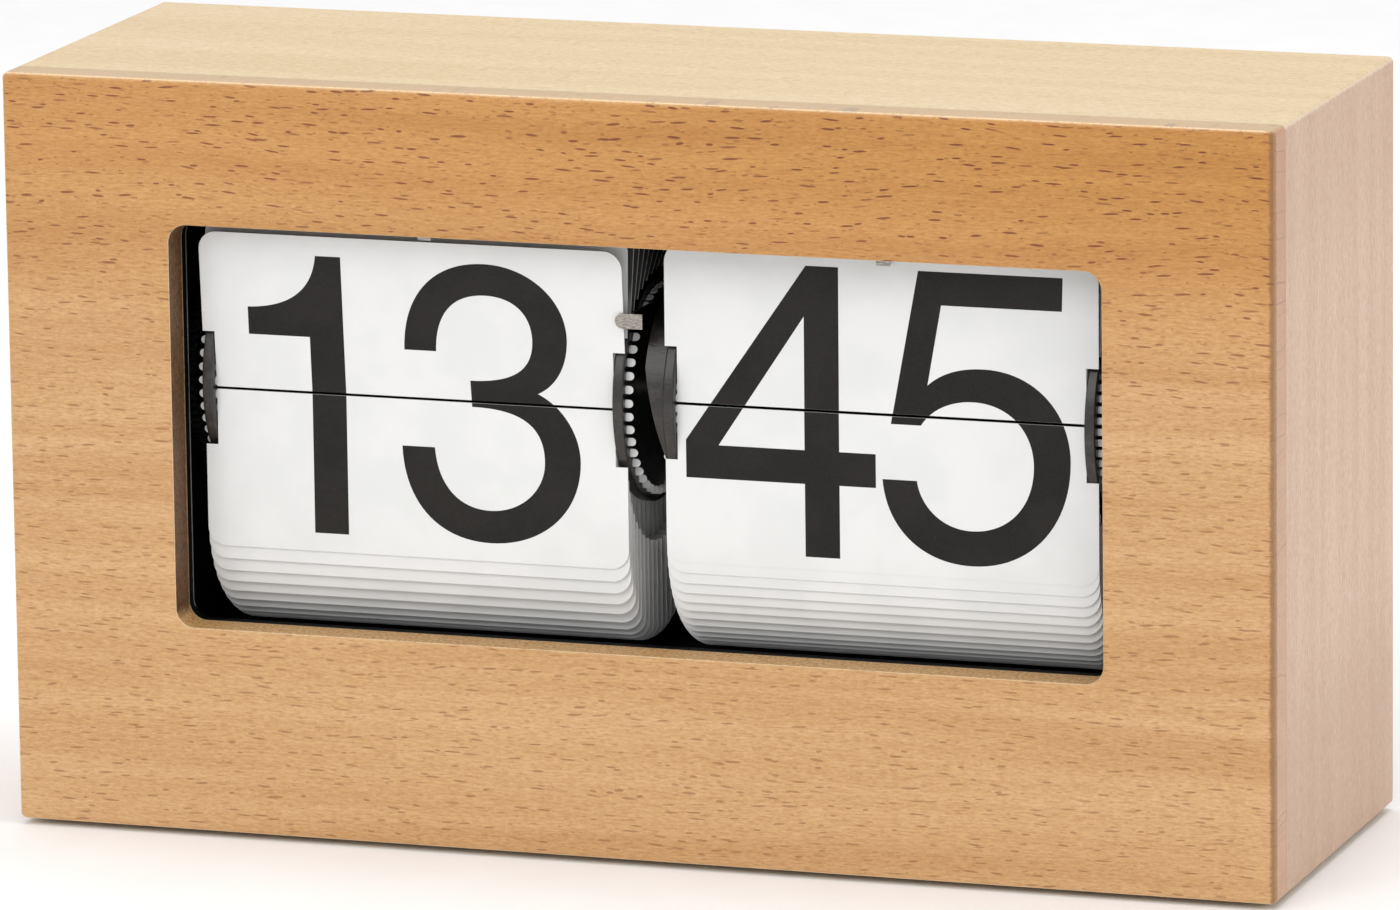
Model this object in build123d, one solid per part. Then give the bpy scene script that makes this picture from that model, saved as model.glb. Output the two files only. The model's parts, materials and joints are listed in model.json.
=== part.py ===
"""Wooden-cased leaf clock: a beech box with an open window, two turning leaf drums and a battery movement.

Millimetres. Origin at the bottom centre, +Z up, the window faces -Y, +X to the viewer's right.
"""
import os
from math import acos, cos, hypot, pi, radians, sin, tan

from build123d import *

# ---- case ----
CASE_W, CASE_H, CASE_D = 210.0, 122.0, 70.0
PAD_H, PAD_R, PAD_INSET = 1.0, 6.0, 14.0
PANEL_T, BOARD_T, CASE_EDGE_R = 6.0, 8.0, 0.9
WINDOW_W, WINDOW_H, WINDOW_R = 154.4, 65.4, 3.0
WINDOW_BOTTOM = PAD_H + 33.3
MASK_T, MASK_LAP = 2.0, 12.0
BLOCK, BLOCK_DEPTH = 10.0, 12.0
REAR_T, REAR_INSET, REAR_GAP = 3.0, 2.0, 0.3

FRONT_Y, BACK_Y = -CASE_D / 2, CASE_D / 2
PANEL_BACK_Y = FRONT_Y + PANEL_T
CASE_MID_Z = PAD_H + CASE_H / 2
INNER_W, INNER_H = CASE_W - 2 * BOARD_T, CASE_H - 2 * BOARD_T
FLOOR_Z = PAD_H + BOARD_T
REAR_OUT_Y = BACK_Y - REAR_INSET
REAR_IN_Y = REAR_OUT_Y - REAR_T

# ---- leaves and their drums ----
AXIS_Y, AXIS_Z = -10.0, 72.65
RING_R = 16.6
HOUR_LEAVES, MINUTE_LEAVES = 48, 60
HOUR_PHASE, MINUTE_PHASE = -2.4, 3.2
LEAF_W, LEAF_TIP, LEAF_T, LEAF_CORNER = 71.2, 24.7, 0.18, 3.0
HINGE_HALF_GAP = 0.22
NOTCH_W, NOTCH_TOP = 2.0, 8.2
TAB_OUT, HOUR_TAB_H, MINUTE_TAB_H = 1.05, 1.3, 1.1
LEAF_LAG = 5.6
GAP_MID_X, GAP_HALF = -0.2, 3.2
HOUR_RIGHT_X = GAP_MID_X - GAP_HALF
HOUR_LEFT_X = HOUR_RIGHT_X - LEAF_W
MINUTE_LEFT_X = GAP_MID_X + GAP_HALF
MINUTE_RIGHT_X = MINUTE_LEFT_X + LEAF_W
DISC_R, DISC_T, DISC_GAP = 18.4, 1.8, 0.1
SLOT_CLEAR = 0.1
CORE_R, AXLE_R, RUN_GAP = 5.0, 1.5, 0.04
COLLAR_OUT_R, COLLAR_IN_R, COLLAR_H = 18.2, 17.4, 3.2
COLLAR_RAMP_LOW_Z, COLLAR_RAMP_HIGH_Z, COLLAR_DROP_Z = -9.1, 6.5, 11.2

# ---- frame of the movement ----
BASE_T, BASE_Z, BASE_FRONT_Y, BASE_BACK_Y = 1.5, 28.0, -24.0, 8.0
PLATE_T, PLATE_TOP_Z, PLATE_FRONT_Y, PLATE_BACK_Y = 1.5, 106.0, -26.8, 26.0
LEFT_PLATE_X, RIGHT_PLATE_X = -83.0, 83.0
BASE_TOP_Z = BASE_Z + BASE_T
POST_R, POST_X, POST_YS = 3.0, 70.0, (-18.0, 2.0)

# ---- gears ----
PRESSURE_ANGLE = radians(20)
BACKLASH = 0.30
FINE_MODULE, HOUR_MODULE, MOTION_MODULE = 0.40, 0.48, 0.50
AXLE_PINION_TEETH, IDLER_WHEEL_TEETH, IDLER_PINION_TEETH, HOUR_GEAR_TEETH = 12, 72, 14, 56
MINUTE_GEAR_TEETH, MOTOR_PINION_TEETH, SETTING_TEETH = 60, 12, 40
HOUR_GEAR_X, HOUR_GEAR_T = -79.5, 1.8
AXLE_PINION_X, AXLE_PINION_T = -81.3, 1.5
MINUTE_GEAR_X, MINUTE_GEAR_T = 76.4, 2.0
IDLER_ANGLE = -45.0
STUD_R = 1.0
THUMB_R, THUMB_T, THUMB_TEETH, KNURL_H = 19.2, 3.0, 72, 0.5

# ---- release lever and retaining fingers ----
LEVER_X, LEVER_T, LEVER_H, LEVER_MID_Z = -2.15, 0.4, 2.4, 86.6
LEVER_PIVOT_Y, LEVER_FRONT_Y, LEVER_EYE_R, LEVER_PIN_R = 22.0, -28.25, 2.0, 0.8
HOOK_END_X, HOOK_RIGHT_X = -4.65, -0.1
FINGER_W, FINGER_T = 2.2, 0.4
TOP_BAR_Y, TOP_BAR_DEPTH, TOP_BAR_Z, TOP_BAR_H = -25.3, 3.0, 102.0, 4.0
REAR_BAR_Y, REAR_BAR_DEPTH, REAR_BAR_Z, REAR_BAR_H = 23.5, 3.0, 94.0, 5.0

# ---- battery and motor ----
CELL_R, CELL_L, CELL_NUB_R, CELL_NUB_L = 7.25, 49.5, 2.6, 1.0
TRAY_W, TRAY_Y, TRAY_H, TRAY_WALL = 60.0, 10.0, 18.8, 1.2
DOOR_W, DOOR_H, DOOR_GAP = 56.4, 15.4, 0.3
MOTOR_X, MOTOR_W, MOTOR_WALL = 84.5, 10.0, 1.0
MOTOR_YS, MOTOR_ZS = (-26.0, 10.0), (38.0, 74.0)
LEAD_R = 0.5


def block(x_range, y_range, z_range):
    """An upright box between three pairs of coordinates."""
    size = [high - low for low, high in (x_range, y_range, z_range)]
    middle = [(low + high) / 2 for low, high in (x_range, y_range, z_range)]
    return Pos(*middle) * Box(*size)


def across(x, y, z):
    """A plane at (x, y, z) whose normal is +X, with its own x axis along +Y."""
    return Plane(origin=(x, y, z), x_dir=(0, 1, 0), z_dir=(1, 0, 0))


def facing_back(y):
    """A plane at depth y whose normal is +Y, with its own axes along -X and +Z."""
    return Plane(origin=(0, y, 0), x_dir=(-1, 0, 0), z_dir=(0, 1, 0))


def rod(x_start, x_end, y, z, radius):
    """A round bar along X."""
    return extrude(across(x_start, y, z) * Circle(radius), amount=x_end - x_start)


def tube(x_start, x_end, y, z, outer, inner):
    """A hollow round bar along X."""
    return extrude(across(x_start, y, z) * (Circle(outer) - Circle(inner)), amount=x_end - x_start)


def upright(x, y, z_low, z_high, radius):
    """A round bar along Z."""
    return Pos(x, y, (z_low + z_high) / 2) * Cylinder(radius, z_high - z_low)


def along_y(x, z, y_start, y_end, radius):
    """A round bar along Y."""
    return extrude(Plane(origin=(x, y_start, z), z_dir=(0, 1, 0)) * Circle(radius), amount=y_end - y_start)


def involute(angle):
    return tan(angle) - angle


def gear_face(teeth, module, tooth_at=0.0):
    """An involute gear's outline, with the middle of a tooth at the angle tooth_at."""
    pitch_r = module * teeth / 2
    base_r = pitch_r * cos(PRESSURE_ANGLE)
    tip_r = pitch_r + 0.9 * module
    root_r = pitch_r - 1.2 * module
    start_r = max(base_r, root_r)
    half = (pi * module / 2 - BACKLASH * module) / (2 * pitch_r) + involute(PRESSURE_ANGLE)
    flank = [start_r + (tip_r - start_r) * step / 3 for step in range(4)]
    profile = [(r, half - involute(acos(min(1.0, base_r / r)))) for r in flank]
    if root_r < start_r:
        profile.insert(0, (root_r, profile[0][1]))
    points = []
    for tooth in range(teeth):
        middle = radians(tooth_at) + 2 * pi * tooth / teeth
        points += [(r * cos(middle - a), r * sin(middle - a)) for r, a in profile]
        points += [(r * cos(middle + a), r * sin(middle + a)) for r, a in reversed(profile)]
    return make_face(Polyline(*points, close=True))


def gear(x, thickness, y, z, face, bore):
    """A gear lying across the X axis, with a round bore."""
    return extrude(across(x, y, z) * (face - Circle(bore)), amount=thickness)


# ---------------------------------------------------------------- case
def window_face():
    return RectangleRounded(WINDOW_W, WINDOW_H, WINDOW_R)


def front_panel():
    plane = Plane(origin=(0, PANEL_BACK_Y, CASE_MID_Z), x_dir=(1, 0, 0), z_dir=(0, -1, 0))
    slab = extrude(plane * RectangleRounded(CASE_W, CASE_H, CASE_EDGE_R), amount=PANEL_T)
    slab = fillet(slab.faces().sort_by(Axis.Y)[0].edges(), CASE_EDGE_R * 0.8)
    window_shift = WINDOW_BOTTOM + WINDOW_H / 2 - CASE_MID_Z
    slab -= extrude(plane * Pos(0, window_shift) * window_face(), amount=PANEL_T)
    rim = [e for e in slab.faces().sort_by(Axis.Y)[0].inner_wires()[0].edges()]
    return fillet(rim, 0.25)


def box_boards():
    """Four boards mitred at the corners, as one ring cut along its diagonals."""
    plane = Plane(origin=(0, PANEL_BACK_Y, CASE_MID_Z), x_dir=(-1, 0, 0), z_dir=(0, 1, 0))
    depth = BACK_Y - PANEL_BACK_Y
    solid = extrude(plane * RectangleRounded(CASE_W, CASE_H, CASE_EDGE_R), amount=depth)
    solid = fillet(solid.faces().sort_by(Axis.Y)[-1].edges(), CASE_EDGE_R * 0.8)
    ring = solid - extrude(plane * Rectangle(INNER_W, INNER_H), amount=depth)
    wide, tall, over = CASE_W / 2, CASE_H / 2, 1.0
    inset = BOARD_T + over
    top = [(-wide - over, tall + over), (wide + over, tall + over),
           (wide - inset, tall - inset), (-wide + inset, tall - inset)]
    side = [(wide + over, tall + over), (wide + over, -tall - over),
            (wide - inset, -tall + inset), (wide - inset, tall - inset)]
    boards = {}
    for name, outline in (("top_board", top), ("bottom_board", [(x, -y) for x, y in top]),
                          ("left_board", side), ("right_board", [(-x, y) for x, y in side])):
        wedge = extrude(plane * make_face(Polyline(*outline, close=True)), amount=depth)
        boards[name] = ring & wedge
    return boards


def block_centres():
    edge_x, edge_z = INNER_W / 2 - BLOCK / 2, INNER_H / 2 - BLOCK / 2
    return [(sx * edge_x, CASE_MID_Z + sz * edge_z) for sx in (-1, 1) for sz in (-1, 1)]


def corner_blocks():
    solids = []
    for x, z in block_centres():
        piece = block((x - BLOCK / 2, x + BLOCK / 2), (REAR_IN_Y - BLOCK_DEPTH, REAR_IN_Y),
                      (z - BLOCK / 2, z + BLOCK / 2))
        solids.append(piece - along_y(x, z, REAR_IN_Y - 8, REAR_IN_Y, 1.2))
    return Compound(children=solids)


def rear_panel_screws():
    solids = []
    for x, z in block_centres():
        screw = along_y(x, z, REAR_IN_Y - 8, REAR_OUT_Y, 1.2)
        head = along_y(x, z, REAR_OUT_Y, REAR_OUT_Y + 1.4, 2.6)
        head = fillet(head.edges().sort_by(Axis.Y)[-1], 0.8)
        cross = block((x - 0.35, x + 0.35), (REAR_OUT_Y + 0.6, BACK_Y), (z - 1.6, z + 1.6))
        cross += block((x - 1.6, x + 1.6), (REAR_OUT_Y + 0.6, BACK_Y), (z - 0.35, z + 0.35))
        solids.append(screw + head - cross)
    return Compound(children=solids)


def door_middle():
    return 0.0, FLOOR_Z + TRAY_H / 2 + 0.3


def setting_axis():
    distance = MOTION_MODULE * (MINUTE_GEAR_TEETH + SETTING_TEETH) / 2
    return AXIS_Y + distance, AXIS_Z


def motor_axis():
    distance = MOTION_MODULE * (MINUTE_GEAR_TEETH + MOTOR_PINION_TEETH) / 2
    return AXIS_Y, AXIS_Z - distance


def idler_axis():
    distance = FINE_MODULE * (AXLE_PINION_TEETH + IDLER_WHEEL_TEETH) / 2
    return AXIS_Y + distance * cos(radians(IDLER_ANGLE)), AXIS_Z + distance * sin(radians(IDLER_ANGLE))


def rear_panel():
    plane = facing_back(REAR_IN_Y)
    width, height = INNER_W - 2 * REAR_GAP, INNER_H - 2 * REAR_GAP
    slab = extrude(plane * Pos(0, CASE_MID_Z) * RectangleRounded(width, height, 1.5), amount=REAR_T)
    door_x, door_z = door_middle()
    slab -= block((door_x - DOOR_W / 2, door_x + DOOR_W / 2), (REAR_IN_Y, REAR_OUT_Y),
                  (door_z - DOOR_H / 2, door_z + DOOR_H / 2))
    set_y, set_z = setting_axis()
    chord = (THUMB_R ** 2 - (REAR_IN_Y - set_y) ** 2) ** 0.5 + 1.0
    middle_x = MINUTE_GEAR_X + MINUTE_GEAR_T + THUMB_T / 2
    slab -= block((middle_x - THUMB_T / 2 - 0.6, middle_x + THUMB_T / 2 + 0.6), (REAR_IN_Y, REAR_OUT_Y),
                  (set_z - chord, set_z + chord))
    for x, z in block_centres():
        slab -= along_y(x, z, REAR_IN_Y, REAR_OUT_Y, 1.35)
    outer = slab.faces().sort_by(Axis.Y)[-1]
    return fillet(outer.outer_wire().edges(), 0.5)


def battery_door():
    x, z = door_middle()
    half_w, half_h = DOOR_W / 2 - DOOR_GAP, DOOR_H / 2 - DOOR_GAP
    plate = block((x - half_w, x + half_w), (REAR_IN_Y + 0.1, REAR_OUT_Y), (z - half_h, z + half_h))
    plate = fillet(plate.faces().sort_by(Axis.Y)[-1].edges(), 0.5)
    for step in range(5):
        rib_z = z - 4 + 2 * step
        plate += block((x - 7, x + 7), (REAR_OUT_Y - 0.2, REAR_OUT_Y + 0.7), (rib_z - 0.4, rib_z + 0.4))
    return plate


def foot_pads():
    solids = []
    for sx in (-1, 1):
        for sy in (-1, 1):
            x, y = sx * (CASE_W / 2 - PAD_INSET), sy * (CASE_D / 2 - PAD_INSET)
            pad = upright(x, y, 0, PAD_H, PAD_R)
            solids.append(chamfer(pad.edges().sort_by(Axis.Z)[0], 0.2))
    return Compound(children=solids)


def window_mask():
    plane = Plane(origin=(0, PANEL_BACK_Y, 0), x_dir=(-1, 0, 0), z_dir=(0, 1, 0))
    middle_z = WINDOW_BOTTOM + WINDOW_H / 2
    outer = Rectangle(WINDOW_W + 2 * MASK_LAP, WINDOW_H + 2 * MASK_LAP)
    return extrude(plane * Pos(0, middle_z) * (outer - window_face()), amount=MASK_T)


# ---------------------------------------------------------------- frame of the movement
def chassis_base():
    base = block((LEFT_PLATE_X, RIGHT_PLATE_X + PLATE_T), (BASE_FRONT_Y, BASE_BACK_Y), (BASE_Z, BASE_TOP_Z))
    for x in (-POST_X, POST_X):
        for y in POST_YS:
            base -= upright(x, y, BASE_Z, BASE_TOP_Z, 1.35)
    return base


def chassis_posts():
    posts = []
    for x in (-POST_X, POST_X):
        for y in POST_YS:
            posts.append(upright(x, y, FLOOR_Z, BASE_Z, POST_R) - upright(x, y, BASE_Z - 8, BASE_Z, 1.2))
    return Compound(children=posts)


def chassis_screws():
    screws = []
    for x in (-POST_X, POST_X):
        for y in POST_YS:
            head = upright(x, y, BASE_TOP_Z, BASE_TOP_Z + 1.2, 2.3)
            head = fillet(head.edges().sort_by(Axis.Z)[-1], 0.6)
            screws.append(head + upright(x, y, BASE_Z - 8, BASE_TOP_Z, 1.2))
    return Compound(children=screws)


def end_plate(x):
    """A side plate of the movement; what passes through it is cut by its caller."""
    plate = block((x, x + PLATE_T), (PLATE_FRONT_Y, PLATE_BACK_Y), (BASE_TOP_Z, PLATE_TOP_Z))
    corners = plate.edges().filter_by(Axis.X)
    plate = fillet(corners.sort_by(Axis.Z)[-2:], 4.0)
    return plate - rod(x, x + PLATE_T, AXIS_Y, AXIS_Z, AXLE_R + RUN_GAP)


def left_end_plate():
    y, z = idler_axis()
    return end_plate(LEFT_PLATE_X) - rod(LEFT_PLATE_X, LEFT_PLATE_X + PLATE_T, y, z, STUD_R)


def right_end_plate():
    plate = end_plate(RIGHT_PLATE_X)
    for (y, z), radius in ((setting_axis(), AXLE_R), (motor_axis(), STUD_R + RUN_GAP)):
        plate -= rod(RIGHT_PLATE_X, RIGHT_PLATE_X + PLATE_T, y, z, radius)
    return plate


def cross_bar(y, depth, z, height):
    """A bar that ties the two end plates together."""
    return block((LEFT_PLATE_X + PLATE_T, RIGHT_PLATE_X), (y - depth / 2, y + depth / 2), (z, z + height))


# ---------------------------------------------------------------- drums
def ring_point(theta):
    """A point on the ring of leaf pivots; theta rises from the front over the top."""
    return AXIS_Y - RING_R * cos(radians(theta)), AXIS_Z + RING_R * sin(radians(theta))


def leaf_angle(count, index):
    """Where on the ring leaf number index sits; 0 is the upper leaf that shows."""
    phase = HOUR_PHASE if count == HOUR_LEAVES else MINUTE_PHASE
    return phase + (index + 0.5) * 360 / count


def leaf_blank(count, tab_h):
    """One flat leaf: rounded outer corners, a notch at each side of the hinge end, and two round-ended tabs."""
    stub = RING_R * sin(pi / count) - HINGE_HALF_GAP
    plate = Pos(0, (LEAF_TIP - stub) / 2) * Rectangle(LEAF_W, LEAF_TIP + stub)
    plate = fillet(plate.vertices().sort_by(Axis.Y)[-2:], LEAF_CORNER)
    tab_l = NOTCH_W + TAB_OUT + 2.0
    for side in (-1, 1):
        notch = Rectangle(NOTCH_W, NOTCH_TOP + stub)
        plate -= Pos(side * (LEAF_W - NOTCH_W) / 2, (NOTCH_TOP - stub) / 2) * notch
        plate += Pos(side * (LEAF_W / 2 + TAB_OUT - tab_l / 2), 0) * SlotOverall(tab_l, tab_h)
    return extrude(plate, amount=LEAF_T / 2, both=True)


def place_leaf(blank, left_x, count, index):
    """Set one leaf on its ring: it trails behind the ring's tangent, or hangs plumb once it is past the back."""
    theta = leaf_angle(count, index)
    y, z = ring_point(theta)
    from_upright = min(theta - LEAF_LAG, 180.0)
    return Pos(left_x + LEAF_W / 2, y, z) * Rot(90 - from_upright, 0, 0) * blank


def leaf_pack(left_x, count, tab_h):
    """Every leaf of a drum except the upper one in front."""
    blank = leaf_blank(count, tab_h)
    return Compound(children=[place_leaf(blank, left_x, count, index) for index in range(1, count)])


def slotted_disc(x, count, tab_h, bore):
    """A carrier disc with one round hole for each leaf's tab."""
    face = Circle(DISC_R) - Circle(bore)
    hole = Circle(tab_h / 2 + SLOT_CLEAR)
    for index in range(count):
        y, z = ring_point(leaf_angle(count, index))
        face -= Pos(y - AXIS_Y, z - AXIS_Z) * hole
    disc = extrude(across(x, AXIS_Y, AXIS_Z) * face, amount=DISC_T)
    rims = [e for e in disc.edges().filter_by(GeomType.CIRCLE) if abs(e.radius - DISC_R) < 0.01]
    return fillet(rims, 0.3)


def cam_collar():
    """A thin ring on the minute disc: its edge rises along a ramp, holds level and drops, once a turn."""
    foot_x = MINUTE_LEFT_X + DISC_GAP
    ring = tube(foot_x - COLLAR_H, foot_x, AXIS_Y, AXIS_Z, COLLAR_OUT_R, COLLAR_IN_R)
    far = DISC_R + 2
    ramp = [(foot_x, COLLAR_RAMP_LOW_Z), (foot_x - COLLAR_H, COLLAR_RAMP_HIGH_Z),
            (foot_x - far, COLLAR_RAMP_HIGH_Z), (foot_x - far, -far), (foot_x, -far)]
    plane = Plane(origin=(0, AXIS_Y, AXIS_Z), x_dir=(1, 0, 0), z_dir=(0, -1, 0))
    ring -= extrude(plane * make_face(Polyline(*ramp, close=True)), amount=far)
    return ring - block((foot_x - far, foot_x), (AXIS_Y, AXIS_Y + far), (AXIS_Z - far, AXIS_Z + COLLAR_DROP_Z))


def hour_drum():
    left_x = HOUR_LEFT_X + DISC_GAP
    right_x = HOUR_RIGHT_X - DISC_GAP - DISC_T
    core_r = AXLE_R + RUN_GAP
    face = gear_face(HOUR_GEAR_TEETH, HOUR_MODULE, IDLER_ANGLE)
    return {
        "hour_wheel_left": slotted_disc(left_x, HOUR_LEAVES, HOUR_TAB_H, CORE_R),
        "hour_wheel_right": slotted_disc(right_x, HOUR_LEAVES, HOUR_TAB_H, CORE_R),
        "hour_core": tube(HOUR_GEAR_X, right_x + DISC_T, AXIS_Y, AXIS_Z, CORE_R, core_r),
        "hour_gear": gear(HOUR_GEAR_X, HOUR_GEAR_T, AXIS_Y, AXIS_Z, face, CORE_R),
    }


def minute_drum():
    left_x = MINUTE_LEFT_X + DISC_GAP
    right_x = MINUTE_RIGHT_X - DISC_GAP - DISC_T
    pinion = gear_face(AXLE_PINION_TEETH, FINE_MODULE, IDLER_ANGLE)
    minute_face = gear_face(MINUTE_GEAR_TEETH, MOTION_MODULE)
    overhang = 1.5
    return {
        "drum_axle": rod(LEFT_PLATE_X - overhang, RIGHT_PLATE_X + PLATE_T - 0.2, AXIS_Y, AXIS_Z, AXLE_R),
        "minute_wheel_left": slotted_disc(left_x, MINUTE_LEAVES, MINUTE_TAB_H, CORE_R),
        "cam_collar": cam_collar(),
        "minute_wheel_right": slotted_disc(right_x, MINUTE_LEAVES, MINUTE_TAB_H, CORE_R),
        "minute_core": tube(left_x, MINUTE_GEAR_X + MINUTE_GEAR_T, AXIS_Y, AXIS_Z, CORE_R, AXLE_R),
        "minute_gear": gear(MINUTE_GEAR_X, MINUTE_GEAR_T, AXIS_Y, AXIS_Z, minute_face, CORE_R),
        "axle_pinion": gear(AXLE_PINION_X, AXLE_PINION_T, AXIS_Y, AXIS_Z, pinion, AXLE_R),
    }


def idler():
    y, z = idler_axis()
    back = IDLER_ANGLE + 180
    wheel = gear_face(IDLER_WHEEL_TEETH, FINE_MODULE, back + 180 / IDLER_WHEEL_TEETH)
    pinion = gear_face(IDLER_PINION_TEETH, HOUR_MODULE, back + 180 / IDLER_PINION_TEETH)
    bore = STUD_R + RUN_GAP
    pinion_l = HOUR_GEAR_X + HOUR_GEAR_T - (AXLE_PINION_X + AXLE_PINION_T)
    stud = rod(LEFT_PLATE_X, HOUR_GEAR_X + HOUR_GEAR_T + 0.6, y, z, STUD_R)
    return {
        "idler_wheel": gear(AXLE_PINION_X, AXLE_PINION_T, y, z, wheel, bore),
        "idler_pinion": gear(AXLE_PINION_X + AXLE_PINION_T, pinion_l, y, z, pinion, bore),
        "idler_stud": stud,
    }


def setting():
    y, z = setting_axis()
    face = gear_face(SETTING_TEETH, MOTION_MODULE, 180 + 180 / SETTING_TEETH)
    bore = AXLE_R + RUN_GAP
    knurl = []
    for tooth in range(THUMB_TEETH):
        for share, radius in ((0.0, THUMB_R - KNURL_H), (0.35, THUMB_R), (0.65, THUMB_R)):
            angle = 2 * pi * (tooth + share) / THUMB_TEETH
            knurl.append((radius * cos(angle), radius * sin(angle)))
    thumb_x = MINUTE_GEAR_X + MINUTE_GEAR_T
    return {
        "setting_gear": gear(MINUTE_GEAR_X, MINUTE_GEAR_T, y, z, face, bore),
        "setting_thumbwheel": gear(thumb_x, THUMB_T, y, z, make_face(Polyline(*knurl, close=True)), bore),
        "setting_stud": rod(MINUTE_GEAR_X - 0.4, RIGHT_PLATE_X + PLATE_T, y, z, AXLE_R),
    }


# ---------------------------------------------------------------- release lever and fingers
def release_lever():
    """An eye on the pin, a long arm between the drums, and a rounded plate across its end, over the hour leaf."""
    z_range = (LEVER_MID_Z - LEVER_H / 2, LEVER_MID_Z + LEVER_H / 2)
    pin_x = LEVER_X + LEVER_T / 2
    arm = block((LEVER_X, LEVER_X + LEVER_T), (LEVER_FRONT_Y, LEVER_PIVOT_Y), z_range)
    hook_l = HOOK_RIGHT_X - HOOK_END_X
    face = Pos(HOOK_END_X + (hook_l + LEVER_H) / 2, LEVER_MID_Z) * SlotOverall(hook_l + LEVER_H, LEVER_H)
    plane = Plane(origin=(0, LEVER_FRONT_Y + LEVER_T, 0), x_dir=(1, 0, 0), z_dir=(0, -1, 0))
    hook = extrude(plane * face, amount=LEVER_T)
    hook &= block((HOOK_END_X - 1, HOOK_RIGHT_X), (LEVER_FRONT_Y - 1, 0), z_range)
    eye = upright(pin_x, LEVER_PIVOT_Y, *z_range, LEVER_EYE_R)
    return arm + hook + eye - upright(pin_x, LEVER_PIVOT_Y, *z_range, LEVER_PIN_R + RUN_GAP)


def lever_bracket():
    """Two ears under the rear bar hold the lever's upright pin."""
    pin_x = LEVER_X + LEVER_T / 2
    low, high = LEVER_MID_Z - LEVER_H / 2 - 0.2, LEVER_MID_Z + LEVER_H / 2 + 0.2
    ear_t, half_w = 1.5, 2.5
    back_y = REAR_BAR_Y + REAR_BAR_DEPTH / 2
    web = block((pin_x - half_w, pin_x + half_w), (back_y - 0.9, back_y), (low - ear_t, REAR_BAR_Z))
    ears = [upright(pin_x, LEVER_PIVOT_Y, z, z + ear_t, half_w) for z in (low - ear_t, high)]
    ears += [block((pin_x - half_w, pin_x + half_w), (LEVER_PIVOT_Y, back_y), (z, z + ear_t))
             for z in (low - ear_t, high)]
    bracket = web
    for ear in ears:
        bracket += ear
    return bracket - upright(pin_x, LEVER_PIVOT_Y, low - ear_t, high + ear_t, LEVER_PIN_R)


def lever_pin():
    low, high = LEVER_MID_Z - LEVER_H / 2 - 1.7, LEVER_MID_Z + LEVER_H / 2 + 1.7
    return upright(LEVER_X + LEVER_T / 2, LEVER_PIVOT_Y, low, high, LEVER_PIN_R)


def lever_spring():
    """A thin blade from the bracket that lies along the arm and urges it towards the drums' gap."""
    spring_x = LEVER_X - 0.45
    foot_y = REAR_BAR_Y + REAR_BAR_DEPTH / 2 - 0.9
    foot_x = LEVER_X + LEVER_T / 2 - 2.5
    z_range = (LEVER_MID_Z - 0.7, LEVER_MID_Z + 0.7)
    blade = block((spring_x, spring_x + 0.2), (3.0, 19.4), z_range)
    tail = block((foot_x - 0.2, foot_x), (19.2, foot_y), z_range)
    return blade + block((foot_x - 0.2, spring_x + 0.2), (19.2, 19.4), z_range) + tail


def finger(x, tip_y, tip_z, over_z):
    """A bent strip from the top bar that stands in front of a leaf's upper edge."""
    stem_y = TOP_BAR_Y - TOP_BAR_DEPTH / 2
    x_range = (x - FINGER_W / 2, x + FINGER_W / 2)
    foot = block(x_range, (stem_y, stem_y + FINGER_T), (over_z, TOP_BAR_Z))
    shelf = block(x_range, (tip_y, stem_y + FINGER_T), (over_z, over_z + FINGER_T))
    hook = block(x_range, (tip_y, tip_y + FINGER_T), (tip_z, over_z + FINGER_T))
    return foot + shelf + hook


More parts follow.
